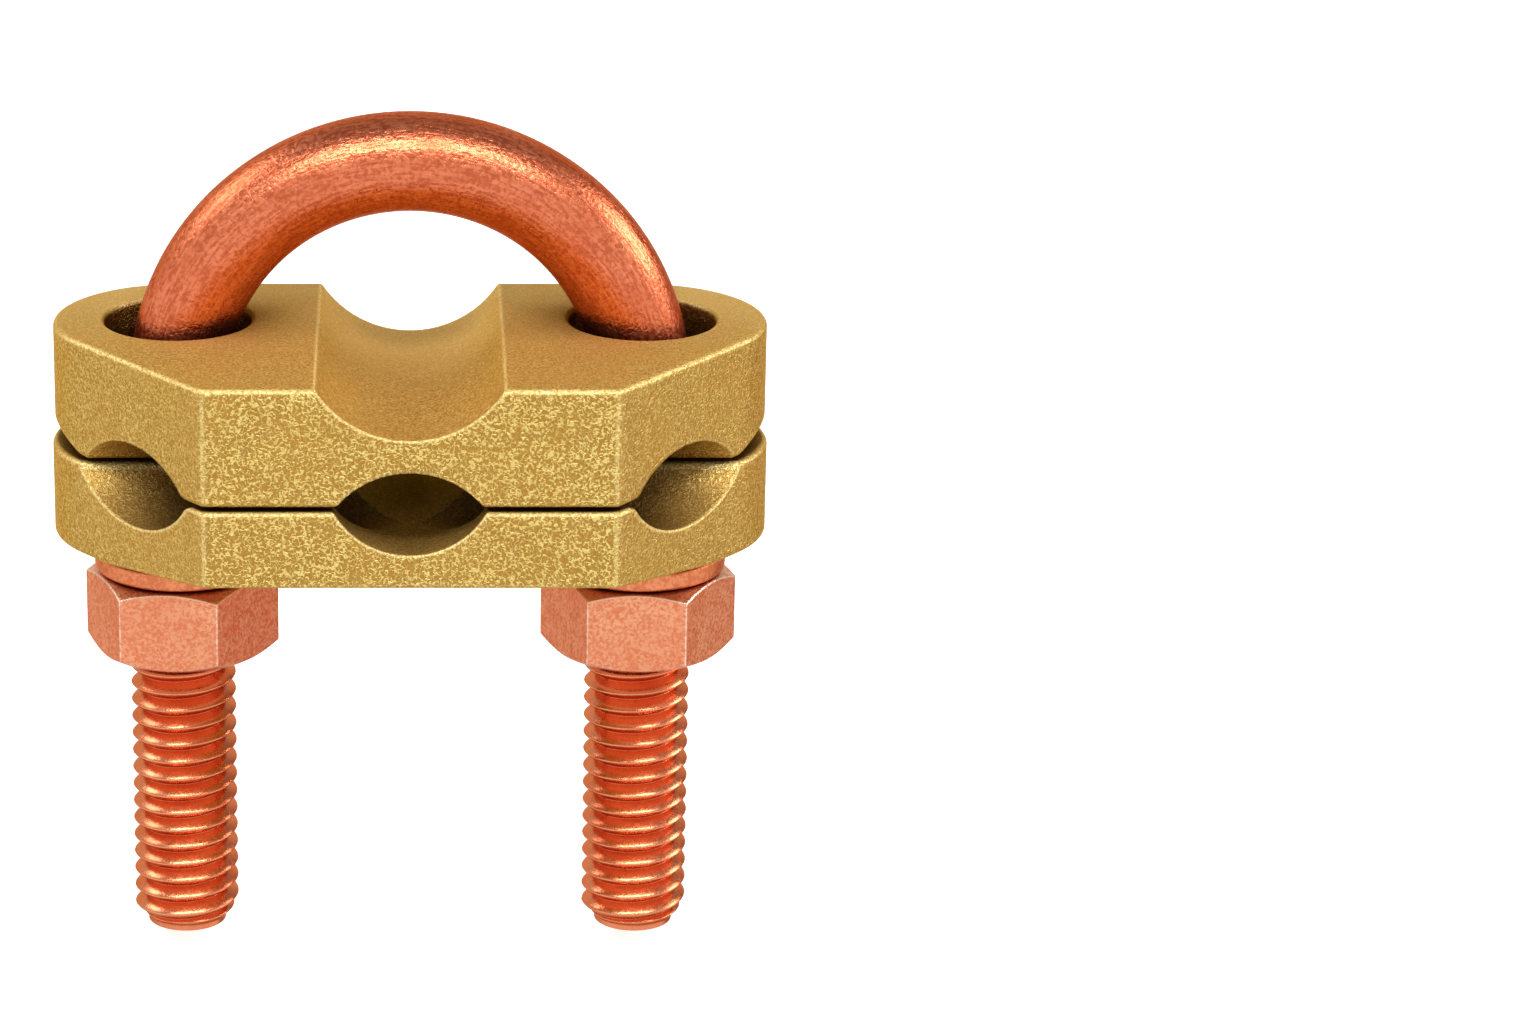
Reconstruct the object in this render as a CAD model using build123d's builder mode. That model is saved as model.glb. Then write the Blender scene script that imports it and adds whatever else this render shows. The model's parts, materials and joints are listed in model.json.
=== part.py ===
from build123d import *
import math
import os

# Rod to cable clamp: a U-bolt draws two brass castings together with a washer pair and a nut on
# each leg. An earth rod sits between the bend and the saddle on top, and a cable is gripped
# between the castings, either in line with the rod or across it.
# Millimetres, +Z up towards the bend. The origin is midway between the legs on the saddle's top
# plane, +Y runs along the rod, and the nuts are at the bottom.

# U-bolt
thread_d = 10.0
thread_rise = 0.4
leg_spacing = 43.2
bend_apex_height = 15.1
leg_end_depth = 60.6
thread_length = 44.6
thread_end_chamfer = 0.85

# Outline that both castings share, seen from above
front_reach = 22.1
front_half_width = 18.7
saddle_end_radius = 11.6
keeper_end_radius = 11.85

# Heights
saddle_thickness = 11.1
parting_gap = 0.4
keeper_lip_thickness = 7.2
keeper_pad_rise = 1.9

# Rod groove in the saddle's top
rod_groove_radius = 9.9
rod_groove_depth = 4.77

# Cable grooves in the parting faces
saddle_groove_depth = 3.35
keeper_groove_depth = 4.1
saddle_cable_radius = 8.4
keeper_cable_radius = 7.8
cross_groove_radius = 7.0
cross_groove_setback = 8.1

# Wedge cut under each end of the saddle
end_wedge_length = 3.1
end_wedge_height = 2.2

# Underside of the keeper: a lip that rises to the front, and a recess between the leg pads
pad_front_margin = 0.9
recess_margin = 1.2

# Casting edges
corner_fillet = 1.0
outline_fillet = 0.55
lip_fillet = 0.3
slope_match_deg = 2.0
groove_shoulder = 0.9
rod_shoulder = 0.5
shoulder_overrun = 0.1
hole_rim_fillet = 0.45

# Leg holes
saddle_hole_clearance = 3.7
keeper_hole_clearance = 1.0

# Flat washer
flat_washer_d = 18.0
flat_washer_thickness = 1.6
flat_washer_clearance = 0.5
flat_washer_edge = 0.3

# Split spring washer
spring_washer_overhang = 0.2
spring_washer_thickness = 2.0
spring_washer_clearance = 0.2
spring_washer_opening = 0.2
spring_washer_split_deg = 9.0
spring_washer_split_at_deg = 90.0
seat_clearance = 0.01

# Nut
nut_across_flats = 16.0
nut_height = 8.0
nut_bore_clearance = 0.1
nut_turn_deg = {"left": -7.0, "right": -3.0}
nut_chamfer_deg = 30.0
nut_face_ratio = 0.95
nut_countersink = 0.6
nut_corner_fillet = 0.2

# Sizes and places worked out from the values above
shank_d = thread_d - 2 * thread_rise
spring_washer_d = nut_across_flats + 2 * spring_washer_overhang
leg_x = leg_spacing / 2
keeper_top = -saddle_thickness - parting_gap
keeper_lip_bottom = keeper_top - keeper_lip_thickness
keeper_pad_bottom = keeper_lip_bottom - keeper_pad_rise
flat_washer_bottom = keeper_pad_bottom - flat_washer_thickness
spring_washer_bottom = flat_washer_bottom - spring_washer_thickness - spring_washer_opening
nut_top = spring_washer_bottom - 2 * seat_clearance
nut_bottom = nut_top - nut_height
bend_centre = bend_apex_height - leg_x
thread_top = -leg_end_depth + thread_length
cross_groove_y = -front_reach + cross_groove_setback
pad_front_y = -flat_washer_d / 2 - pad_front_margin
recess_half_width = leg_x - flat_washer_d / 2 - recess_margin
cut_reach = leg_x + keeper_end_radius + front_reach
side_x = {"left": -leg_x, "right": leg_x}
along_rod = Plane.XZ
across_rod = Plane(origin=(0, cross_groove_y, 0), x_dir=(0, 1, 0), z_dir=(1, 0, 0))

os.makedirs("parts", exist_ok=True)


def outline(end_radius):
    """The castings' outline seen from above: round ends on the leg axes and a narrower front."""
    with BuildSketch() as shape:
        with Locations((-leg_x, 0), (leg_x, 0)):
            Circle(end_radius)
        with BuildLine():
            Line((-front_half_width, -front_reach), (front_half_width, -front_reach))
        make_hull()
    return shape.sketch


def groove(plane, radius, depth, face_z, into, shoulder):
    """A long round-bottomed cutter for the face at height face_z, with rounded shoulders.

    The plane's own Y axis is the part's Z. into is 1 for a groove that goes up into its face
    and -1 for one that goes down. The shoulders turn flat just outside the face, so that the
    cutter crosses the face at an angle and never lies in it.
    """
    mouth_z = face_z - into * shoulder_overrun
    waste_width = 2 * (2 * radius)
    waste_height = 2 * radius
    with BuildPart() as cutter:
        with BuildSketch(plane) as profile:
            with Locations((0, face_z + into * (depth - radius))):
                Circle(radius)
            with Locations((0, mouth_z - into * waste_height / 2)):
                Rectangle(waste_width, waste_height)
            corners = profile.sketch_local.vertices().filter_by_position(
                Axis.Y, mouth_z - shoulder_overrun, mouth_z + shoulder_overrun
            )
            meeting = corners.filter_by_position(Axis.X, -radius, radius)
            fillet(meeting, shoulder)
        extrude(amount=cut_reach, both=True)
    return cutter.part


def crossing_grooves(cable_radius, depth, face_z, into):
    """The groove along the rod and the one across it, joined into one cutter."""
    with BuildPart() as cutter:
        add(groove(along_rod, cable_radius, depth, face_z, into, groove_shoulder))
        add(groove(across_rod, cross_groove_radius, depth, face_z, into, groove_shoulder))
    return cutter.part


# U-bolt: a round bar bent to a half circle, with a thicker rolled thread on each leg
with BuildPart() as u_bolt:
    with BuildLine(Plane.XZ) as bar_line:
        Line((-leg_x, thread_top), (-leg_x, bend_centre))
        CenterArc((0, bend_centre), leg_x, 180, -180)
        Line((leg_x, bend_centre), (leg_x, thread_top))
    with BuildSketch(Plane(origin=(-leg_x, 0, thread_top), z_dir=(0, 0, 1))):
        Circle(shank_d / 2)
    sweep(path=bar_line.line)
    with BuildSketch(Plane.XY.offset(-leg_end_depth)):
        with Locations((-leg_x, 0), (leg_x, 0)):
            Circle(thread_d / 2)
    extrude(amount=thread_length)
    leg_ends = u_bolt.faces().group_by(Axis.Z)[0]
    chamfer(leg_ends.edges(), thread_end_chamfer)
    shoulders = u_bolt.edges().filter_by(GeomType.CIRCLE).filter_by_position(
        Axis.Z, thread_top - seat_clearance, thread_top + seat_clearance
    )
    thread_edges = shoulders.filter_by(lambda edge: abs(edge.radius - thread_d / 2) < seat_clearance)
    chamfer(thread_edges, thread_rise / 2)
u_bolt.part.label = "u_bolt"
export_step(u_bolt.part, "parts/u_bolt.step")

# Saddle casting: rod groove on top, cable grooves below, and a wedge cut under each end
saddle_end_x = leg_x + saddle_end_radius
with BuildPart() as upper_casting:
    with BuildSketch(Plane.XY.offset(-saddle_thickness)):
        add(outline(saddle_end_radius))
    extrude(amount=saddle_thickness)
    fillet(upper_casting.edges().filter_by(Axis.Z).group_by(Axis.Y)[0], corner_fillet)
    top_and_bottom = upper_casting.faces().filter_by(Axis.Z)
    fillet(top_and_bottom.edges(), outline_fillet)
    with BuildSketch(Plane.XZ):
        for end_side in (-1, 1):
            with BuildLine():
                Polyline(
                    (end_side * saddle_end_x, -saddle_thickness),
                    (end_side * (saddle_end_x - end_wedge_length), -saddle_thickness),
                    (end_side * saddle_end_x, -saddle_thickness + end_wedge_height),
                    close=True,
                )
            make_face()
    extrude(amount=cut_reach, both=True, mode=Mode.SUBTRACT)
    add(groove(along_rod, rod_groove_radius, rod_groove_depth, 0, -1, rod_shoulder), mode=Mode.SUBTRACT)
    add(
        crossing_grooves(saddle_cable_radius, saddle_groove_depth, -saddle_thickness, 1),
        mode=Mode.SUBTRACT,
    )
    with Locations((-leg_x, 0, 0), (leg_x, 0, 0)):
        Hole((thread_d + saddle_hole_clearance) / 2)
    rims = upper_casting.edges().filter_by(GeomType.CIRCLE).group_by(Axis.Z)[-1]
    fillet(rims.filter_by(lambda rim: rim.is_closed), hole_rim_fillet)
upper_casting.part.label = "upper_casting"
export_step(upper_casting.part, "parts/upper_casting.step")

# Keeper casting: cable grooves on top, leg pads and a rising front lip underneath
with BuildPart() as lower_casting:
    with BuildSketch(Plane.XY.offset(keeper_pad_bottom)):
        add(outline(keeper_end_radius))
    extrude(amount=keeper_top - keeper_pad_bottom)
    fillet(lower_casting.edges().filter_by(Axis.Z).group_by(Axis.Y)[0], corner_fillet)
    top_and_bottom = lower_casting.faces().filter_by(Axis.Z)
    fillet(top_and_bottom.edges(), outline_fillet)
    with BuildSketch(Plane.YZ):
        with BuildLine():
            Polyline(
                (pad_front_y, keeper_pad_bottom),
                (-front_reach, keeper_lip_bottom),
                (-cut_reach, keeper_lip_bottom),
                (-cut_reach, keeper_pad_bottom),
                close=True,
            )
        make_face()
    extrude(amount=cut_reach, both=True, mode=Mode.SUBTRACT)
    slope_rise = (keeper_lip_bottom - keeper_pad_bottom) / (pad_front_y + front_reach)
    slope_normal = Vector(0, -slope_rise, -1)
    lip_slope = lower_casting.faces().filter_by(
        lambda face: face.normal_at().get_angle(slope_normal) < slope_match_deg
    )
    crease = lip_slope.edges().filter_by(Axis.X).sort_by(Axis.Y)[-1]
    lip_rim = lip_slope.edges().filter_by(lambda edge: edge.center().Y < crease.center().Y - lip_fillet)
    fillet(lip_rim, lip_fillet)
    with BuildSketch(Plane.XZ):
        with BuildLine():
            Polyline(
                (-recess_half_width, keeper_pad_bottom),
                (-recess_half_width + keeper_pad_rise, keeper_lip_bottom),
                (recess_half_width - keeper_pad_rise, keeper_lip_bottom),
                (recess_half_width, keeper_pad_bottom),
                close=True,
            )
        make_face()
    extrude(amount=cut_reach, both=True, mode=Mode.SUBTRACT)
    add(
        crossing_grooves(keeper_cable_radius, keeper_groove_depth, keeper_top, -1),
        mode=Mode.SUBTRACT,
    )
    with Locations((-leg_x, 0, keeper_top), (leg_x, 0, keeper_top)):
        Hole((thread_d + keeper_hole_clearance) / 2)
lower_casting.part.label = "lower_casting"
export_step(lower_casting.part, "parts/lower_casting.step")


def flat_washer(x):
    """A plain washer with eased outer edges, seated on a leg pad."""
    with BuildPart() as washer:
        with BuildSketch(Plane.XY.offset(flat_washer_bottom)):
            with Locations((x, 0)):
                Circle(flat_washer_d / 2)
                Circle((thread_d + flat_washer_clearance) / 2, mode=Mode.SUBTRACT)
        extrude(amount=flat_washer_thickness)
        rims = washer.edges().filter_by(GeomType.CIRCLE)
        chamfer(rims.group_by(SortBy.RADIUS)[-1], flat_washer_edge)
    return washer.part


def spring_washer(x):
    """A square-section washer cut through at the back, its ends a little apart in height."""
    bore_d = thread_d + spring_washer_clearance
    mean_radius = (spring_washer_d + bore_d) / 4
    section_width = (spring_washer_d - bore_d) / 2
    drawn_turn = (360 - spring_washer_split_deg) / 360
    start_z = spring_washer_bottom + spring_washer_thickness / 2
    with BuildPart() as washer:
        with BuildLine() as coil:
            Helix(
                pitch=spring_washer_opening / drawn_turn,
                height=spring_washer_opening,
                radius=mean_radius,
                center=(x, 0, start_z - seat_clearance),
                lefthand=True,
            )
        start = coil.line @ 0
        with BuildSketch(Plane(origin=start, x_dir=(1, 0, 0), z_dir=coil.line % 0)):
            Rectangle(section_width, spring_washer_thickness)
        sweep(path=coil.line, is_frenet=True)
    return washer.part.rotate(Axis((x, 0, 0), (0, 0, 1)), spring_washer_split_at_deg)


def hex_nut(x, turn_deg):
    """A hexagon nut with both ends cut back to a cone, bored for the thread."""
    corner_radius = nut_across_flats / math.sqrt(3)
    face_radius = nut_face_ratio * nut_across_flats / 2
    cone_drop = (corner_radius - face_radius) * math.tan(math.radians(nut_chamfer_deg))
    with BuildPart() as nut:
        with BuildSketch(Plane.XY.offset(nut_bottom)):
            with Locations((x, 0)):
                RegularPolygon(nut_across_flats / 2, 6, major_radius=False, rotation=turn_deg)
        extrude(amount=nut_height)
        fillet(nut.edges().filter_by(Axis.Z), nut_corner_fillet)
        with BuildSketch(Plane.XZ):
            with BuildLine():
                Polyline(
                    (x, nut_bottom),
                    (x + face_radius, nut_bottom),
                    (x + corner_radius, nut_bottom + cone_drop),
                    (x + corner_radius, nut_top - cone_drop),
                    (x + face_radius, nut_top),
                    (x, nut_top),
                    close=True,
                )
            make_face()
        revolve(axis=Axis((x, 0, 0), (0, 0, 1)), mode=Mode.INTERSECT)
        with Locations((x, 0, nut_top)):
            Hole((thread_d + nut_bore_clearance) / 2)
        bore_rims = nut.edges().filter_by(GeomType.CIRCLE)
        chamfer(bore_rims.group_by(SortBy.RADIUS)[0], nut_countersink)
    return nut.part


for side, x in side_x.items():
    fasteners = {
        f"flat_washer_{side}": flat_washer(x),
        f"spring_washer_{side}": spring_washer(x),
        f"nut_{side}": hex_nut(x, nut_turn_deg[side]),
    }
    for node, piece in fasteners.items():
        piece.label = node
        export_step(piece, f"parts/{node}.step")
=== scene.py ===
# %% [markdown]
# A rod to cable clamp, dressed for the studio
#
# The real clamp is a copper-coloured U-bolt that draws two sand-cast brass blocks together, with a
# flat washer, a split spring washer and a nut on each leg. The exact solids arrive from the frame,
# in metres, and stay where they are. This lesson gives them their finishes, and models the two
# things that a solid model leaves plain: the rolled threads and the worn, rounded spring washers.

# %% Load the frame
import json
import math

import bmesh
import bpy
from mathutils import Matrix, Vector


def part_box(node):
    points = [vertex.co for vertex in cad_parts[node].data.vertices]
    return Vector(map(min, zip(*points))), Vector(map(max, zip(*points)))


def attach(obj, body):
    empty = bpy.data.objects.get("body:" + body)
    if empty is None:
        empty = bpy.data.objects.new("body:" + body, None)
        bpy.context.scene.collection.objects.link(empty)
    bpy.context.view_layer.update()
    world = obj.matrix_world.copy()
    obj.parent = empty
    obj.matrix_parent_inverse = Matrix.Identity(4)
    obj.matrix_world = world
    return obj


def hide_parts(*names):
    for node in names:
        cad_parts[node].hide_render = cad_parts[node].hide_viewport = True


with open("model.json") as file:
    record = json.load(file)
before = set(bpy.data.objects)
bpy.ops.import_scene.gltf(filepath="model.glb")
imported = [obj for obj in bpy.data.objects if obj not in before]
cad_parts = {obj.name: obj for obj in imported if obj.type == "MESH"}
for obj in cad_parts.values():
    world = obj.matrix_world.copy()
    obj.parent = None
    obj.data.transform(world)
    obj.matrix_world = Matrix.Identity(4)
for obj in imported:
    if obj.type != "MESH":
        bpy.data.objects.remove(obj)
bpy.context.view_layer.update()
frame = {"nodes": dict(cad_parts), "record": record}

nodes = frame["nodes"]
print("nodes:", ", ".join(sorted(nodes)))

# %% [markdown]
# What the frame tells
#
# Most places are measured on the solids, so nothing has to be fitted by eye. The U-bolt's box gives
# the leg ends and the thread's outside radius, because the thread is the widest thing along Y. Two
# sizes can't be read from a box and are given here: the bar of the bend is a little thinner than
# the thread, as on every bolt whose thread is rolled and not cut, and the thread has a length.

# %% Measure the bolt
MM = 0.001
thread_rise = 0.4 * MM
threaded_length = 44.6 * MM
bolt_low, bolt_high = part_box("u_bolt")
thread_radius = (bolt_high.y - bolt_low.y) / 2
leg_end = bolt_low.z
shank_radius = thread_radius - thread_rise
leg_x = bolt_high.x - thread_radius
bend_centre = bolt_high.z - shank_radius - leg_x
thread_top = leg_end + threaded_length
leg_places = {"left": -leg_x, "right": leg_x}
print("legs at x =", round(leg_x / MM, 2), "mm, bend centre at z =", round(bend_centre / MM, 2), "mm")

# %% [markdown]
# The camera
#
# The photograph looks at the clamp from the front, 17 degrees above the horizon, through a long
# lens that stands 450 mm away. The clamp lies left of the middle of the picture, and yet its legs
# lean neither way. A camera that turned aside would make them lean, so the lens is shifted
# sideways instead. The clamp is also above the middle, and there a small tilt down is enough.

# %% Place the camera
camera_distance = 0.45
camera_elevation = math.radians(17.0)
camera_down = math.radians(19.3)
camera_lens = 113.3
picture_width = 1536
clamp_left_of_middle = 358

camera = bpy.data.objects.new("studio_camera", bpy.data.cameras.new("studio_camera"))
bpy.context.scene.collection.objects.link(camera)
camera.data.lens = camera_lens
camera.data.shift_x = clamp_left_of_middle / picture_width
camera.data.clip_start = 0.01
camera_back = camera_distance * math.cos(camera_elevation)
camera_height = camera_distance * math.sin(camera_elevation)
camera.location = (0, -camera_back, camera_height)
camera.rotation_euler = (math.pi / 2 - camera_down, 0, 0)
bpy.context.scene.camera = camera
print("camera at", [round(value, 3) for value in camera.location])

# %% [markdown]
# Shader sums in plain Python
#
# A material could be wired by hand, node by node, but sums are easier to read as sums. A Wire wraps
# one output socket. Adding or multiplying wires adds Math nodes, with the reflected forms so that
# 1 - mask works, and every other node comes from the one method called node.


# %% Wrap a socket
class Wire:
    """One output in a node tree, which can stand in a sum."""

    def __init__(self, tree, output=None):
        self.tree = tree
        self.output = output

    def node(self, kind, settings=None, inputs=None, output=0):
        """Add a node: its settings first, then the values or links of its sockets."""
        made = self.tree.nodes.new(kind)
        settings = dict(settings or {})
        stops = settings.pop("stops", None)
        for name, value in settings.items():
            setattr(made, name, value)
        if stops:
            elements = made.color_ramp.elements
            while len(elements) < len(stops):
                elements.new(1)
            for element, (position, grey) in zip(elements, stops):
                element.position = position
                element.color = (grey, grey, grey, 1)
        for key, value in (inputs or {}).items():
            if isinstance(value, Wire):
                self.tree.links.new(value.output, made.inputs[key])
            else:
                made.inputs[key].default_value = value
        return Wire(self.tree, made.outputs[output] if made.outputs else None)

    def maths(self, operation, first, second=0.0):
        return self.node("ShaderNodeMath", {"operation": operation}, {0: first, 1: second})

    def __add__(self, other):
        return self.maths("ADD", self, other)

    def __radd__(self, other):
        return self.maths("ADD", other, self)

    def __sub__(self, other):
        return self.maths("SUBTRACT", self, other)

    def __rsub__(self, other):
        return self.maths("SUBTRACT", other, self)

    def __mul__(self, other):
        return self.maths("MULTIPLY", self, other)

    def __rmul__(self, other):
        return self.maths("MULTIPLY", other, self)

    def __neg__(self):
        return self.maths("MULTIPLY", self, -1.0)


print("a Wire has the methods", ", ".join(name for name, part in vars(Wire).items() if callable(part)))

# %% [markdown]
# Masks and colours
#
# Every finish here asks the same few things: how far a value has come between two others, where a
# point lies, which way its face looks, and how two colours mix. Each question is a small function,
# so that a material further down reads as a list of what is on the metal.


# %% Ask how far, where and which way
def between(wire, value, low, high):
    """How far a value has come from low to high, from 0 to 1 with soft ends."""
    settings = {"interpolation_type": "SMOOTHSTEP"}
    return wire.node("ShaderNodeMapRange", settings, {"Value": value, "From Min": low, "From Max": high})


def along_axis(wire, vector, axis):
    """One axis of a vector."""
    return wire.node("ShaderNodeSeparateXYZ", inputs={0: vector}, output=axis)


def facing(wire, axis):
    """How squarely a face looks along an axis, from -1 to 1."""
    return along_axis(wire, wire.node("ShaderNodeTexCoord", output="Normal"), axis)


def larger(wire, first, second):
    """The larger of two masks."""
    return wire.maths("MAXIMUM", first, second)


def mix_colour(wire, factor, first, second):
    """Two colours mixed by a factor."""
    opaque = [shade if isinstance(shade, Wire) else (*shade, 1) for shade in (first, second)]
    return wire.node("ShaderNodeMix", {"data_type": "RGBA"}, {0: factor, 6: opaque[0], 7: opaque[1]}, 2)


# %% Make noise of a real size
def noise(wire, place, size, detail=2.0, roughness=0.5, distortion=0.0):
    """Noise whose lumps are about the given size in metres, as one value around a half."""
    sockets = {"Vector": place, "Scale": 0.5 / size, "Detail": detail, "Roughness": roughness}
    return wire.node("ShaderNodeTexNoise", inputs={**sockets, "Distortion": distortion})


def ridges(wire, value, width):
    """Thin winding ridges, where a noise passes through a half."""
    from_half = wire.maths("ABSOLUTE", value - 0.5)
    return 1 - between(wire, from_half, 0.0, width)


print("lumps of 1 mm are noise with a scale of", 0.5 / MM)

# %% [markdown]
# Edges: wear and painted highlights
#
# On cast and turned metal the corners are the first thing to be rubbed bright. Real chamfers would need
# new meshes. The Bevel node instead gives the normal that each point would have if the edges were rounded,
# so its difference from the true normal marks the edges, and the rounded normal itself catches a line of
# light along them. The colour laid on these edges is partly rubbed wear and partly painted highlight;
# edges that look down lie in shade and are left out.
#
# Inside holes and joints the colour is painted darker, as painted shade, and darkest low in the holes.
# Ambient occlusion measures how much of the open air a point sees within a short reach, and so tells the
# holes and joints from the open faces.


# %% Find the edges and the hollows
edge_faint, edge_plain = 0.006, 0.05


def rounded_edges(wire, radius, faint=edge_faint, plain=edge_plain):
    """The normal with rounded edges, and a mask that is 1 on the edges that don't look down."""
    rounded = wire.node("ShaderNodeBevel", {"samples": 8}, {"Radius": radius})
    true_normal = wire.node("ShaderNodeNewGeometry", output="Normal")
    compare = {0: rounded, 1: true_normal}
    alike = wire.node("ShaderNodeVectorMath", {"operation": "DOT_PRODUCT"}, compare, "Value")
    # Edges that look down lie in shade, so they get no painted highlight.
    not_down = between(wire, along_axis(wire, rounded, "Z"), -0.45, 0.0)
    return rounded, between(wire, 1 - alike, faint, plain) * not_down


def in_the_open(wire, reach):
    """1 on open surfaces, down to 0 deep inside holes and joints narrower than the reach."""
    light = wire.node("ShaderNodeAmbientOcclusion", {"samples": 8}, {"Distance": reach}, "AO")
    return between(wire, light, 0.25, 0.88)


turn_at_edge = math.degrees(math.acos(1 - edge_faint))
print("an edge shows where rounding turns the normal by more than", round(turn_at_edge, 1), "degrees")

# %% [markdown]
# What all the metals share
#
# Each finish ends in the same way: one Principled shader that is all metal, with a bump on top of
# the rounded normal. Such a shader turns white at grazing sight, which would make the walls of a
# hole look grey. Brass and copper skins stay warm there, so each metal gives the shader's own
# Specular Tint a colour, the same all over.


# %% Start and close a metal
def start_metal(name):
    """A new material with an empty tree, as a wire to build on."""
    material = bpy.data.materials.new(name)
    material.use_nodes = True
    material.node_tree.nodes.clear()
    return material, Wire(material.node_tree)


def close_metal(wire, colour, grazing_tint, roughness, height, depth, edge_normal):
    """Finish a metal: colour, its tint at grazing sight, roughness and relief of a depth in metres."""
    relief = {"Strength": 1.0, "Distance": depth, "Height": height, "Normal": edge_normal}
    bump = wire.node("ShaderNodeBump", inputs=relief)
    sockets = {"Base Color": colour, "Metallic": 1.0, "Roughness": roughness, "Normal": bump}
    sockets["Specular Tint"] = (*grazing_tint, 1)
    surface = wire.node("ShaderNodeBsdfPrincipled", inputs=sockets)
    wire.node("ShaderNodeOutputMaterial", inputs={"Surface": surface})


print("materials so far:", len(bpy.data.materials))

# %% [markdown]
# Cast brass: the grain
#
# The two blocks come out of fine sand, and are tumbled afterwards. The sand leaves a grain of short
# winding ridges, about a fifth of a millimetre across, with still finer crumbs between them. An
# image could show it, but would stretch over the round ends. A noise in the block's own space
# doesn't: where it passes through a half it draws a winding line, and that line is the ridge.

# %% Grow the cast grain
ridge_size = 0.18 * MM
crumb_size = 0.12 * MM


def cast_grain(wire, place):
    """The height of the grain, from 0 to 1, and the crumbs that are a part of it."""
    winding = ridges(wire, noise(wire, place, ridge_size, detail=0.5, distortion=0.6), 0.11)
    crumbs = noise(wire, place, crumb_size, detail=1.0, distortion=0.5)
    return winding * 0.45 + crumbs * 0.55, crumbs


print("grain lumps in mm:", ridge_size / MM, "and", crumb_size / MM)

# %% [markdown]
# Cast brass: the rims
#
# The blocks' outlines are rounded in the casting, along the top plates and down the two front
# corners. There is no sharp edge that a Bevel node could find. These rims are told by what makes
# them rims: they look part way up and part way forward, just below one of the two top planes, or
# part way aside and forward. Without the height, the walls of the grooves would light up as well.

# %% Find the rounded rims
joint_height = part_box("lower_casting")[1].z
saddle_rim = 0.75 * MM
keeper_rim = 0.8 * MM
rim_fade = 0.2 * MM


def rounded_rims(wire, height, to_front, up):
    """1 on the rounded rims below the two top planes, and up to 0.6 on the front corners."""
    aside = wire.maths("ABSOLUTE", facing(wire, "X"))
    below_top = between(wire, height, -saddle_rim, rim_fade - saddle_rim)
    below_joint = between(wire, height, joint_height - keeper_rim, joint_height + rim_fade - keeper_rim)
    above_joint = between(wire, height, joint_height, joint_height + rim_fade)
    near_a_top = below_top + below_joint * (1 - above_joint)
    top_rim = between(wire, to_front, 0.15, 0.5) * between(wire, up, 0.15, 0.5) * near_a_top
    partly_aside = between(wire, aside, 0.05, 0.2) * (1 - between(wire, aside, 0.4, 0.55))
    corner = partly_aside * between(wire, to_front, 0.8, 0.9)
    return larger(wire, top_rim, corner * 0.6)


print("the keeper's top plane is at z =", round(joint_height / MM, 2), "mm")

# %% [markdown]
# Cast brass: the colours
#
# The fronts show the grain at full strength, pale on the ridges and deep between them, which is partly the
# grain's own tone and partly painted highlight and painted shade on its relief. The angled faces and the
# tops are smoother and duller, with only the crumbs on them, and are also painted darker as shade; towards
# the back the tops are painted a little paler as light. Clouds a few millimetres wide keep the metal from
# looking painted, the rims are painted bright as wear and highlight, and the holes and joints are painted
# dark as shade. Each of these is one mix of colours.

# %% Colour the cast brass
brass_between_and_shade, brass_ridge_and_highlight = (0.49, 0.255, 0.045), (1.0, 0.78, 0.265)
dull_shaded_brass, dull_shaded_crumb = (0.36, 0.195, 0.045), (0.76, 0.47, 0.14)
painted_light_brass = (0.78, 0.56, 0.22)
clouded_brass = (0.68, 0.38, 0.08)
rubbed_and_highlit_brass = (1.0, 0.80, 0.34)
deep_hollow_shade, high_hollow_shade = (0.06, 0.021, 0.003), (0.18, 0.08, 0.016)
tops_lit_from, tops_lit_to = -16.0 * MM, 12.0 * MM
hollow_shade_from, hollow_shade_to = -5.0 * MM, -1.0 * MM
brass_shade_reach = 9.0 * MM


def grain_strength(front):
    """The grain shows fully on the fronts, and a little less elsewhere."""
    return 0.8 + front * 0.2


def on_top(wire, up):
    """1 on the faces that look up."""
    return between(wire, up, 0.5, 0.95)


# %% Lay the skin of the brass
def skin_and_painted_light(wire, place, grain, crumbs, front, up):
    """The brass before its edges are brightened: grain on the fronts, duller and painted darker as shade
    elsewhere, and painted paler as light at the back.
    """
    # Partly painted light: the pale ridges carry painted highlight and the deep places between them
    # painted shade, as well as the grain's own tone.
    light = 0.5 + (between(wire, grain, 0.2, 0.8) - 0.5) * grain_strength(front)
    cast = mix_colour(wire, light, brass_between_and_shade, brass_ridge_and_highlight)
    # Painted shade, together with the finer crumbs: the angled faces, and the tops more so, are painted
    # darker.
    dullness_and_shade = 0.3 - front * 0.3 + on_top(wire, up) * 0.15
    dull_and_shaded = mix_colour(wire, between(wire, crumbs, 0.3, 0.7), dull_shaded_brass, dull_shaded_crumb)
    turned_away = mix_colour(wire, dullness_and_shade, cast, dull_and_shaded)
    # Painted light: the faces that look up are painted paler towards the back.
    behind = between(wire, along_axis(wire, place, "Y"), tops_lit_from, tops_lit_to)
    paler = mix_colour(wire, behind * between(wire, up, 0.3, 0.8) * 0.7, turned_away, painted_light_brass)
    patches = noise(wire, place, 3.5 * MM, detail=2.0)
    return mix_colour(wire, between(wire, patches, 0.35, 0.7) * 0.2, paler, clouded_brass)


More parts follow.
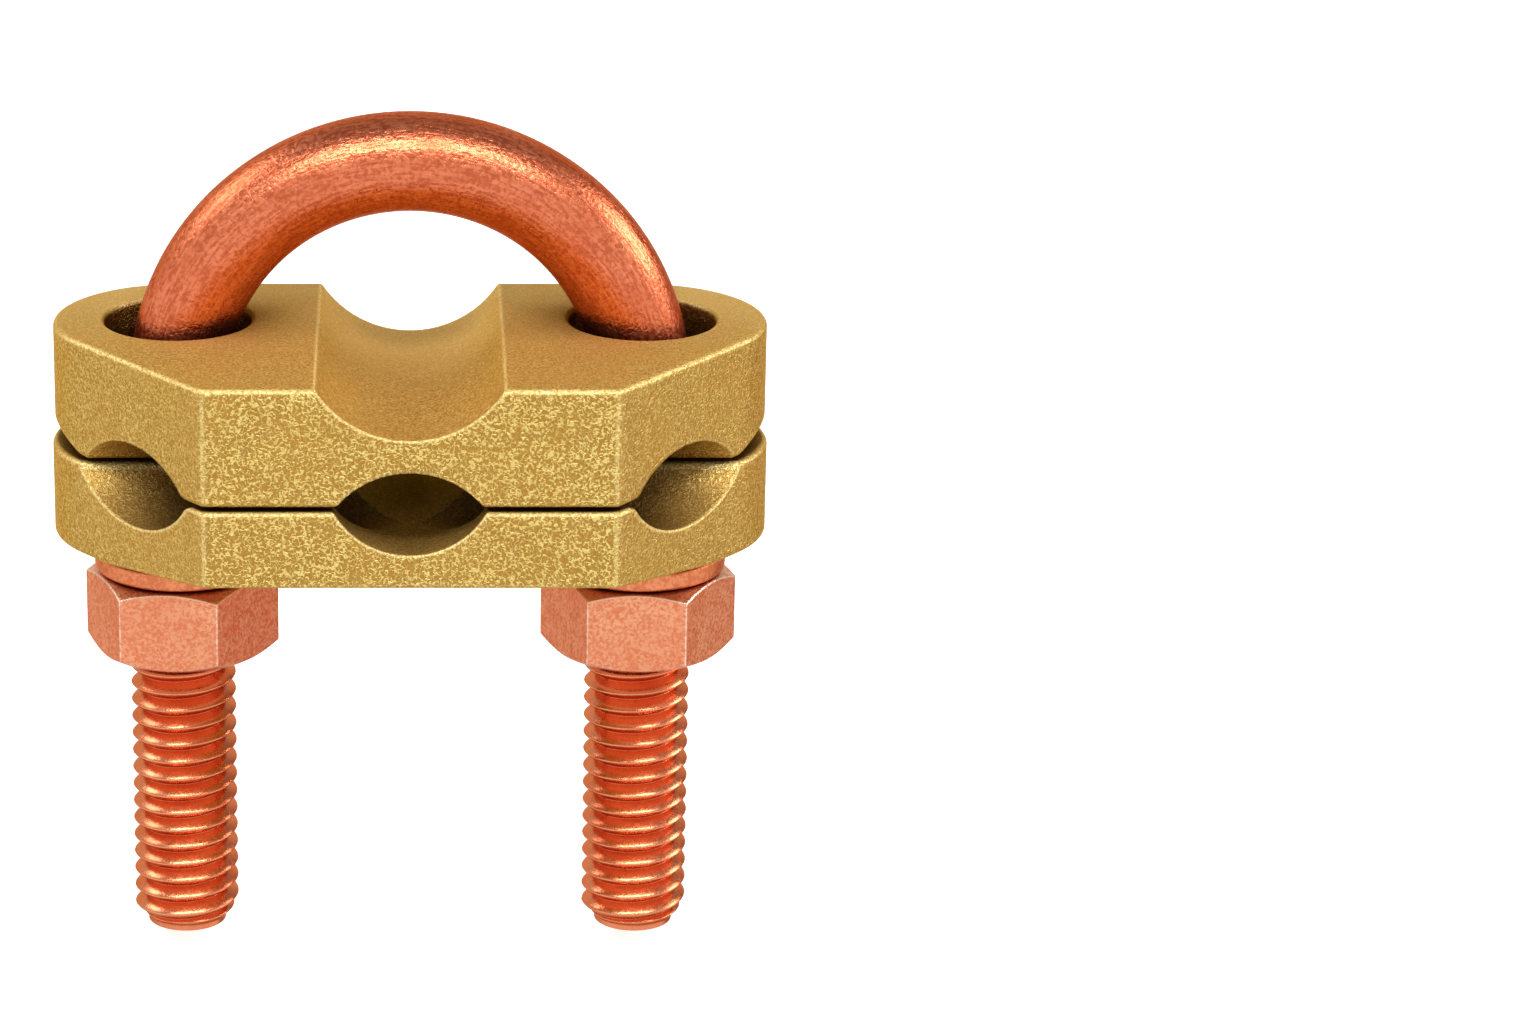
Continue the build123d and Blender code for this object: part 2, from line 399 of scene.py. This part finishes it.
# %% Make the cast brass
def make_cast_brass():
    material, wire = start_metal("cast_brass")
    place = wire.node("ShaderNodeTexCoord", output="Object")
    height = along_axis(wire, place, "Z")
    to_front, up = -facing(wire, "Y"), facing(wire, "Z")
    front = between(wire, to_front, 0.8, 0.97)
    grain, crumbs = cast_grain(wire, place)
    normal, sharp_edge = rounded_edges(wire, 0.48 * MM, 0.002, 0.02)
    # Painted highlight with wear: sharp edges and rounded rims that look up or forward are painted bright.
    edge = larger(wire, sharp_edge, rounded_rims(wire, height, to_front, up))
    rubbed_and_highlit = edge * (0.35 + between(wire, crumbs, 0.35, 0.6) * 0.65)
    worn_and_highlit = mix_colour(wire, rubbed_and_highlit, skin_and_painted_light(wire, place, grain, crumbs, front, up), rubbed_and_highlit_brass)
    # Painted shade: holes and joints are painted dark, darker towards the bottom of the holes.
    hollow_shade = mix_colour(wire, between(wire, height, hollow_shade_from, hollow_shade_to), deep_hollow_shade, high_hollow_shade)
    colour = mix_colour(wire, in_the_open(wire, brass_shade_reach), hollow_shade, worn_and_highlit)
    roughness = 0.42 + on_top(wire, up) * 0.26 - (grain - 0.5) * 0.2 + edge * 0.06
    close_metal(wire, colour, (0.85, 0.6, 0.3), roughness, grain * grain_strength(front), 0.1 * MM, normal)
    return material


cast_brass = make_cast_brass()
print("cast brass has", len(cast_brass.node_tree.nodes), "nodes")

# %% [markdown]
# The drawn bar
#
# The bolt is bent from drawn bar, so faint lines run along it, round the bend too. A pattern on
# plain object coordinates would cut across the bend. The bolt's mesh therefore carries the place
# that each point had before the bar was bent, and the marks read that. The place along the bar also
# tells where the thread starts. Rolling wipes most of the marks away and leaves brighter metal.

# %% Read the bar as it was before it was bent
thread_start = math.pi * leg_x / 2 + bend_centre - thread_top


def drawn_marks(wire, unbent):
    """The lines along the bar, the finer peel all over it, and 1 where the thread is rolled."""
    stretched = wire.node("ShaderNodeMapping", inputs={"Vector": unbent, "Scale": (1, 1, 0.12)})
    lines = noise(wire, stretched, 0.13 * MM, detail=2.0, roughness=0.6)
    peel = noise(wire, unbent, 0.19 * MM, detail=1.5, distortion=0.6)
    from_middle = wire.maths("ABSOLUTE", along_axis(wire, unbent, "Z"))
    return lines, peel, between(wire, from_middle, thread_start, thread_start + 1.0 * MM)


print("the thread starts", round(thread_start / MM, 1), "mm along the bar from the middle of the bend")

# %% Make the copper of the bolt
drawn_dark, drawn_pale = (0.60, 0.125, 0.052), (0.90, 0.265, 0.13)
rolled_copper = (1.0, 0.42, 0.20)
clouded_copper = (0.66, 0.135, 0.05)
rubbed_and_highlit_copper = (1.0, 0.56, 0.34)
shaded_bar_copper = (0.42, 0.055, 0.012)


def make_copper_bar():
    material, wire = start_metal("copper_bar")
    unbent = wire.node("ShaderNodeAttribute", {"attribute_name": "unbent"}, output="Vector")
    lines, peel, rolled = drawn_marks(wire, unbent)
    patches = noise(wire, unbent, 2.5 * MM, detail=3.0)
    normal, edge = rounded_edges(wire, 0.12 * MM)
    marks = (lines * 0.5 + peel * 0.5 - 0.5) * (1 - rolled * 0.7)
    drawn = mix_colour(wire, between(wire, marks, -0.12, 0.12), drawn_dark, drawn_pale)
    brighter_thread = mix_colour(wire, rolled * 0.35, drawn, rolled_copper)
    clouds = between(wire, patches, 0.4, 0.7) * 0.35
    clouded = mix_colour(wire, clouds, brighter_thread, clouded_copper)
    open_air = in_the_open(wire, 2.5 * MM)
    # Painted highlight with wear: the bar's sharp edges and thread crests in the open are painted bright.
    worn_and_highlit = mix_colour(wire, edge * open_air * 0.8, clouded, rubbed_and_highlit_copper)
    # Painted shade: the plain bar is painted a little darker where little open air reaches it, as at its
    # foot in the blocks' holes.
    colour = mix_colour(wire, 0.86 + open_air * 0.14 + rolled * 0.14, shaded_bar_copper, worn_and_highlit)
    roughness = 0.31 + (peel - 0.5) * 0.2 + (patches - 0.5) * 0.15 - rolled * 0.05
    relief = (lines * 0.45 + peel * 0.7) * (1 - rolled * 0.7)
    close_metal(wire, colour, (0.7, 0.45, 0.35), roughness, relief, 0.08 * MM, normal)
    return material


copper_bar = make_copper_bar()
print("copper bar has", len(copper_bar.node_tree.nodes), "nodes")

# %% [markdown]
# Nuts and washers
#
# They are made of the same copper-coloured metal on other machines, and tumbled. The nuts come out with a
# fine satin, and their upright corners are painted bright as highlight; the washers stay redder. One
# function makes both finishes, because only their shades, their gloss, their grain and the corners differ.
#
# A nut's upright corners are rounded on the solid already, so the edge mask misses them. They are
# found by the way they face: a side looks in one of six directions, and a corner lies half way
# between two. The nuts stand a little turned, so that turn is measured first, on their largest
# upright faces.


# %% Measure how the nuts are turned
def widest_side(node):
    """The direction that the largest upright face of a nut looks in, within a sixth of a turn."""
    upright = [face for face in nodes[node].data.polygons if abs(face.normal.z) < 0.1]
    widest = max(upright, key=lambda face: face.area)
    return math.atan2(widest.normal.y, widest.normal.x) % (math.tau / 6)


nut_turn = (widest_side("nut_left") + widest_side("nut_right")) / 2
print("the nuts' sides look", round(math.degrees(nut_turn), 1), "degrees past each sixth of a turn")


# %% Find the corners of a nut
def hexagon_corners(wire):
    """1 on the six upright corners of a hexagon nut, told by the way they face."""
    turned = wire.maths("ARCTAN2", facing(wire, "Y"), facing(wire, "X")) - nut_turn
    return between(wire, -wire.maths("COSINE", turned * 6), -0.8, 0.0)


print("their corners look", round(math.degrees(nut_turn + math.tau / 12), 1), "degrees past each sixth")


# %% Make the copper of the nuts and the washers
edge_highlight_copper = (1.0, 0.80, 0.64)
shaded_hollow_copper = (0.30, 0.05, 0.015)
satin_relief = 0.05 * MM


def make_tumbled_copper(name, dark, pale, gloss, grain_size, six_sided=False):
    """A satin of two shades with dents and clouds, painted highlight on the edges and painted shade in the
    hollows.
    """
    material, wire = start_metal(name)
    place = wire.node("ShaderNodeTexCoord", output="Object")
    grain = noise(wire, place, grain_size, detail=2.0, distortion=0.6)
    dents = noise(wire, place, 0.7 * MM, detail=2.0)
    patches = noise(wire, place, 3.0 * MM, detail=2.0)
    normal, edge = rounded_edges(wire, 0.3 * MM)
    tone = between(wire, grain * 0.75 + dents * 0.25, 0.39, 0.61)
    satin = mix_colour(wire, tone, dark, pale)
    clouded = mix_colour(wire, between(wire, patches, 0.4, 0.7) * 0.3, satin, dark)
    # Painted highlight: the edges, and on a nut its upright corners, are painted bright.
    if six_sided:
        edge = larger(wire, edge, hexagon_corners(wire) * (0.3 + tone * 0.6))
    worn_and_highlit = mix_colour(wire, edge, clouded, edge_highlight_copper)
    # Painted shade: the nuts and washers are painted darker in hollows and joints within a short reach.
    colour = mix_colour(wire, in_the_open(wire, 3 * MM), shaded_hollow_copper, worn_and_highlit)
    roughness = gloss + (grain - 0.5) * 0.2 - edge * 0.12
    close_metal(wire, colour, (0.8, 0.55, 0.45), roughness, grain + dents * 0.9, satin_relief, normal)
    return material


copper_nut = make_tumbled_copper(
    "copper_nut", (0.82, 0.24, 0.11), (1.0, 0.46, 0.26), gloss=0.42, grain_size=0.15 * MM, six_sided=True
)
copper_washer = make_tumbled_copper(
    "copper_washer", (0.72, 0.20, 0.08), (0.95, 0.34, 0.155), gloss=0.38, grain_size=0.2 * MM
)
for copper in (copper_nut, copper_washer):
    print(copper.name, "has", len(copper.node_tree.nodes), "nodes")

# %% [markdown]
# Dressing the solids
#
# The record says which finish each solid has. A solid keeps its exact mesh, and only the material
# in its slots is changed, so that everything still fits as it was made to.

# %% Give the solids their finishes
finishes = {
    "cast_brass": cast_brass,
    "copper_bar": copper_bar,
    "copper_nut": copper_nut,
    "copper_washer": copper_washer,
}
for subpart in frame["record"]["subparts"]:
    for place in nodes[subpart["node"]].material_slots:
        place.material = finishes[subpart["material_slot"]]


# %% [markdown]
# Turning a bmesh into a piece
#
# New shapes are made with bmesh operators, in the frame's own metres, so that each object can sit
# at the origin. Smooth faces are split at the sharp edges, as a machinist would see them.


# %% Hand a finished mesh over
def make_piece(name, shape, body, slot, stands_for, sharp_degrees=35):
    """Turn a bmesh into a piece that rides on a body and stands for a solid."""
    mesh = bpy.data.meshes.new(name)
    bmesh.ops.recalc_face_normals(shape, faces=shape.faces[:])
    shape.to_mesh(mesh)
    shape.free()
    mesh.shade_smooth()
    mesh.set_sharp_from_angle(angle=math.radians(sharp_degrees))
    mesh.materials.append(finishes[slot])
    piece = bpy.data.objects.new(name, mesh)
    bpy.context.scene.collection.objects.link(piece)
    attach(piece, body)
    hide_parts(stands_for)
    print(name, "has", len(mesh.polygons), "faces")
    return piece


# %% [markdown]
# The rolled thread
#
# A thread could be cut with a boolean or drawn as bump, but bump has no outline, and here the
# crests are the outline of the legs. It is a shape that repeats at every turn, so a single upright
# line with all the crests on it is spun once round the leg while it climbs by one pitch. The last
# line then lies on the first one, one crest higher, and merging doubles closes the skin. Rolling
# presses the metal outwards between V-shaped roots, which leaves the crests rounded.

# %% Shape one pitch
pitch = 1.75 * MM
thread_depth = 1.1 * MM
samples_per_pitch = 16
turn_steps = 48
crest_power = 1.4


def thread_height(share):
    """How far a thread stands out, from 0 in the root to 1 on the crest, along one pitch."""
    from_crest = abs(2 * (share % 1) - 1)
    return 1 - from_crest**crest_power


heights = [thread_height(sample / samples_per_pitch) for sample in range(samples_per_pitch)]
print("thread heights:", [round(height, 2) for height in heights])

# %% [markdown]
# Trimming the leg
#
# The spun thread is a little too long at both ends and is cut off flat there. The end of a real leg
# is turned down before rolling, so that a nut starts easily: a short plain point, and a shoulder
# that widens at 45 degrees until it meets the thread. The cut thread has the points for that
# already, so those that stand out too far are only pushed in towards the leg's middle.

# %% Spin and trim a thread
spare_turns = 2
doubles_distance = 0.002 * MM
cut_distance = 0.001 * MM
point_length = 0.5 * MM
point_step = 1.25 * MM


def spin_thread(x):
    """A bmesh of one leg's thread, with spare turns past both of its ends."""
    shape = bmesh.new()
    last_turn = math.ceil(threaded_length / pitch) + spare_turns
    line = []
    for sample in range(-spare_turns * samples_per_pitch, last_turn * samples_per_pitch + 1):
        share = sample / samples_per_pitch
        radius = thread_radius - thread_depth * (1 - thread_height(share))
        line.append(shape.verts.new((x + radius, 0, leg_end + share * pitch)))
    for lower, upper in zip(line, line[1:]):
        shape.edges.new((lower, upper))
    bmesh.ops.spin(
        shape, geom=shape.verts[:] + shape.edges[:], cent=(x, 0, 0), axis=(0, 0, 1),
        angle=math.tau, steps=turn_steps, dvec=(0, 0, pitch / turn_steps), use_merge=False,
    )
    bmesh.ops.remove_doubles(shape, verts=shape.verts[:], dist=doubles_distance)
    return shape


def trim_thread(shape, x):
    """Cut a thread to its length and turn its point down."""
    for height, side in ((leg_end, -1), (thread_top, 1)):
        bmesh.ops.bisect_plane(
            shape, geom=shape.verts[:] + shape.edges[:] + shape.faces[:], dist=cut_distance,
            plane_co=(0, 0, height), plane_no=(0, 0, side), clear_outer=True,
        )
    for vertex in shape.verts:
        out = Vector((vertex.co.x - x, vertex.co.y))
        limit = thread_radius - point_step + max(0, vertex.co.z - leg_end - point_length)
        if out.length > limit:
            out = out.normalized() * limit
            vertex.co.x, vertex.co.y = x + out.x, out.y


print("one thread has", math.ceil(threaded_length / pitch), "turns of", turn_steps, "steps")

# %% [markdown]
# The bar and its bend
#
# A ring of edges is drawn up the left leg, spun half a turn about the bend's centre, and drawn down
# the right leg. The two threads are added to the same mesh, and each one's open top is bridged to
# the thinner bar, which makes the little step where rolling stops.


# %% Pick vertices and edges out of what an operator gives back
def vertices(geometry):
    return [item for item in geometry if isinstance(item, bmesh.types.BMVert)]


def edges(geometry):
    return [item for item in geometry if isinstance(item, bmesh.types.BMEdge)]


def draw_rim_to(shape, rim, z):
    """Extrude an open rim to a height, and give back the new rim."""
    drawn = bmesh.ops.extrude_edge_only(shape, edges=rim)["geom"]
    for corner in vertices(drawn):
        corner.co.z = z
    return drawn


# %% Bend the bar
ring_segments = 48
bend_steps = 72
bar_start = thread_top + thread_rise
bolt = bmesh.new()
bmesh.ops.create_circle(
    bolt, cap_ends=False, segments=ring_segments, radius=shank_radius,
    matrix=Matrix.Translation((-leg_x, 0, bar_start)),
)
left_leg = draw_rim_to(bolt, bolt.edges[:], bend_centre)
bent = bmesh.ops.spin(
    bolt, geom=vertices(left_leg) + edges(left_leg), cent=(0, 0, bend_centre), axis=(0, 1, 0),
    angle=math.pi, steps=bend_steps, use_merge=False,
)["geom_last"]
draw_rim_to(bolt, edges(bent), bar_start)
print("the bar has", len(bolt.faces), "faces")

# %% Add the threads to the bar
for x in leg_places.values():
    thread = spin_thread(x)
    trim_thread(thread, x)
    thread_mesh = bpy.data.meshes.new("thread")
    thread.to_mesh(thread_mesh)
    thread.free()
    bolt.from_mesh(thread_mesh)
    bpy.data.meshes.remove(thread_mesh)
print("bolt has", len(bolt.faces), "faces before its ends are closed")


# %% Join the threads to the bar and close the leg ends
def open_edges(shape, z):
    """The edges of the open rims at one height."""
    return [
        edge
        for edge in shape.edges
        if edge.is_boundary and all(abs(corner.co.z - z) < 0.01 * MM for corner in edge.verts)
    ]


for side_x in leg_places.values():
    rims = [
        edge
        for height in (thread_top, bar_start)
        for edge in open_edges(bolt, height)
        if (edge.verts[0].co.x > 0) == (side_x > 0)
    ]
    bmesh.ops.bridge_loops(bolt, edges=rims)
bmesh.ops.holes_fill(bolt, edges=open_edges(bolt, leg_end), sides=0)
print("open edges left:", sum(edge.is_boundary for edge in bolt.edges))

# %% Hand the bolt over
threaded_u_bolt = make_piece("threaded_u_bolt", bolt, "u_bolt", "copper_bar", "u_bolt", sharp_degrees=50)

# %% [markdown]
# Unbending the bar in thought
#
# The drawn marks need to know where each point lay on the straight bar. On a leg only the distance
# along it changes. On the bend the angle round its centre, times the bend's radius, is the distance
# along. A named attribute on the mesh holds the answer, and the copper reads it by that name.


# %% Remember where the bar was before it was bent
def before_bending(place):
    """A point of the bent bar, as it lay on the straight bar: across, across and along."""
    if place.z < bend_centre:
        along = math.pi * leg_x / 2 + bend_centre - place.z
        return Vector((abs(place.x) - leg_x, place.y, math.copysign(along, place.x)))
    out = math.hypot(place.x, place.z - bend_centre)
    turned = math.atan2(place.x, place.z - bend_centre)
    return Vector((out - leg_x, place.y, turned * leg_x))


unbent = threaded_u_bolt.data.attributes.new("unbent", "FLOAT_VECTOR", "POINT")
for vertex in threaded_u_bolt.data.vertices:
    unbent.data[vertex.index].vector = before_bending(vertex.co)
print("bar before bending is", round((math.pi * leg_x + 2 * (bend_centre - leg_end)) / MM, 1), "mm long")

# %% [markdown]
# The split spring washers
#
# A spring washer is coiled from square wire, so its edges are round and its two ends stand a little
# apart. The wire's section starts as a grid of one face whose corners are bevelled. Its outline is
# then spun not quite once round, down a left-hand coil, and the two ends are filled.

# %% Name the spring washer's sizes
wire_thickness = 2.0 * MM
wire_corner = 0.5 * MM
wire_corner_segments = 4
washer_play = 0.1 * MM
washer_gap = math.radians(9)
washer_steps = 96
print("the two ends of a coil stand", round(math.degrees(washer_gap)), "degrees apart")


# %% Draw the wire's section
def wire_section(width, place):
    """The rounded outline of the wire, moved to its place by a matrix."""
    shape = bmesh.new()
    bmesh.ops.create_grid(shape, x_segments=1, y_segments=1, size=0.5)
    bmesh.ops.scale(shape, vec=(width, wire_thickness, 1), verts=shape.verts[:])
    bmesh.ops.bevel(
        shape, geom=shape.verts[:], offset=wire_corner, affect="VERTICES", segments=wire_corner_segments,
        profile=0.5, material=-1,
    )
    bmesh.ops.delete(shape, geom=shape.faces[:], context="FACES_ONLY")
    bmesh.ops.transform(shape, matrix=place, verts=shape.verts[:])
    return shape


# %% Coil the spring washers
def make_spring_washer(side, x):
    low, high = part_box(f"spring_washer_{side}")
    outer, inner = (high.x - low.x) / 2, thread_radius + washer_play
    centre = Matrix.Translation((x, 0, high.z - wire_thickness / 2))
    start = Matrix.Rotation(math.pi / 2 + washer_gap / 2, 4, "Z")
    reach = Matrix.Translation(((outer + inner) / 2, 0, 0))
    stand = Matrix.Rotation(math.pi / 2, 4, "X")
    shape = wire_section(outer - inner, centre @ start @ reach @ stand)
    drop = high.z - low.z - wire_thickness
    bmesh.ops.spin(
        shape, geom=shape.verts[:] + shape.edges[:], cent=(x, 0, 0), axis=(0, 0, 1),
        angle=math.tau - washer_gap, steps=washer_steps, dvec=(0, 0, -drop / washer_steps),
        use_merge=False,
    )
    bmesh.ops.holes_fill(shape, edges=[edge for edge in shape.edges if edge.is_boundary], sides=0)
    node = f"spring_washer_{side}"
    make_piece(f"rounded_{node}", shape, f"{side}_washers", "copper_washer", node)


for side, x in leg_places.items():
    make_spring_washer(side, x)

# %% [markdown]
# The studio
#
# Metal is only as good as what it reflects. The photograph's studio is bright in front and below,
# like a white table, and darker overhead, which is why the blocks' tops are deeper in colour than
# their fronts. A gradient on the world does this. Behind the clamp stand two brown flags, a plain
# one on the right and a faint one on the left, which give the bar and the nuts their dark flanks.
# The camera itself sees none of it: for its own rays the world is white, like the photograph.

# %% Light the world
flag_brown = (0.34, 0.21, 0.16)
overhead_fade = [(0.0, 0.85), (0.3, 1.0), (0.55, 0.98), (0.68, 0.85), (0.85, 0.42), (1.0, 0.28)]

world = bpy.data.worlds.new("studio")
bpy.context.scene.world = world
world.use_nodes = True
world.node_tree.nodes.clear()
sky = Wire(world.node_tree)
direction = sky.node("ShaderNodeTexCoord", output="Generated")
aside, away, rise = (along_axis(sky, direction, axis) for axis in "XYZ")
by_height = sky.node("ShaderNodeValToRGB", {"stops": overhead_fade}, {0: rise * 0.5 + 0.5})
seen = sky.node("ShaderNodeLightPath", output="Is Camera Ray")
right_flag = between(sky, aside, 0.3, 0.8) * between(sky, away, 0.2, 0.45)
left_flag = between(sky, -aside, 0.3, 0.8) * between(sky, away, -0.2, 0.5) * 0.3
shade = mix_colour(sky, (right_flag + left_flag) * (1 - seen), (1, 1, 1), flag_brown)
strength = by_height * (1 - seen) + seen
light = sky.node("ShaderNodeBackground", inputs={"Color": shade, "Strength": strength})
sky.node("ShaderNodeOutputWorld", inputs={"Surface": light})
print("the world is lit by", len(world.node_tree.nodes), "nodes")

# %% [markdown]
# The softboxes
#
# A long key softbox hangs high over the photographer's side and draws the highlight along the bend.
# One softbox on each side brightens the flanks and the angled faces. The right one hangs lower and
# is stronger, because the photograph's right side is the brighter one.

# %% Hang the softboxes
softbox_distance = 0.6


def hang_softbox(name, azimuth, elevation, width, height, watts):
    """An area light that looks at the clamp. Azimuth 0 is the photographer's side."""
    lamp = bpy.data.lights.new(name, "AREA")
    lamp.shape = "RECTANGLE"
    lamp.size, lamp.size_y, lamp.energy = width, height, watts
    holder = bpy.data.objects.new(name, lamp)
    bpy.context.scene.collection.objects.link(holder)
    turn, lift = math.radians(azimuth), math.radians(elevation)
    back = Vector((math.sin(turn) * math.cos(lift), -math.cos(turn) * math.cos(lift), math.sin(lift)))
    holder.location = back * softbox_distance
    holder.rotation_euler = back.to_track_quat("Z", "Y").to_euler()
    print(name, "hangs at", [round(value, 2) for value in holder.location])


hang_softbox("key_softbox", azimuth=0, elevation=56, width=0.7, height=0.12, watts=2.9)
hang_softbox("left_softbox", azimuth=-106, elevation=38, width=0.3, height=0.2, watts=0.7)
hang_softbox("right_softbox", azimuth=98, elevation=22, width=0.3, height=0.2, watts=1.1)

# %% [markdown]
# The table
#
# The photograph has no visible floor, only white. The table is white paper that glows a little, so
# that the shadows under the legs stay faint. The metal doesn't reflect it, because the world below
# is already as bright as a table. It lies just under the lowest place that the bolt can slide to.

# %% Lay the table
table_below = 1.6 * MM
table_reach = 3.0
paper, paper_wire = start_metal("white_paper")
paper_sockets = {"Base Color": (0.9, 0.9, 0.9, 1), "Roughness": 1.0, "Specular IOR Level": 0.0}
paper_glow = {"Emission Color": (1, 1, 1, 1), "Emission Strength": 0.72}
paper_surface = paper_wire.node("ShaderNodeBsdfPrincipled", inputs={**paper_sockets, **paper_glow})
paper_wire.node("ShaderNodeOutputMaterial", inputs={"Surface": paper_surface})

table_shape = bmesh.new()
bmesh.ops.create_grid(table_shape, x_segments=1, y_segments=1, size=table_reach)
bmesh.ops.translate(table_shape, verts=table_shape.verts[:], vec=(0, 0, leg_end - table_below))
table_mesh = bpy.data.meshes.new("table")
table_shape.to_mesh(table_mesh)
table_shape.free()
table_mesh.materials.append(paper)
table = bpy.data.objects.new("table", table_mesh)
bpy.context.scene.collection.objects.link(table)
table.visible_glossy = False
print("table lies at z =", round((leg_end - table_below) / MM, 2), "mm")

# %% [markdown]
# The view
#
# The plain Standard view shows the colours as they were mixed.

# %% Set the view
bpy.context.scene.view_settings.view_transform = "Standard"
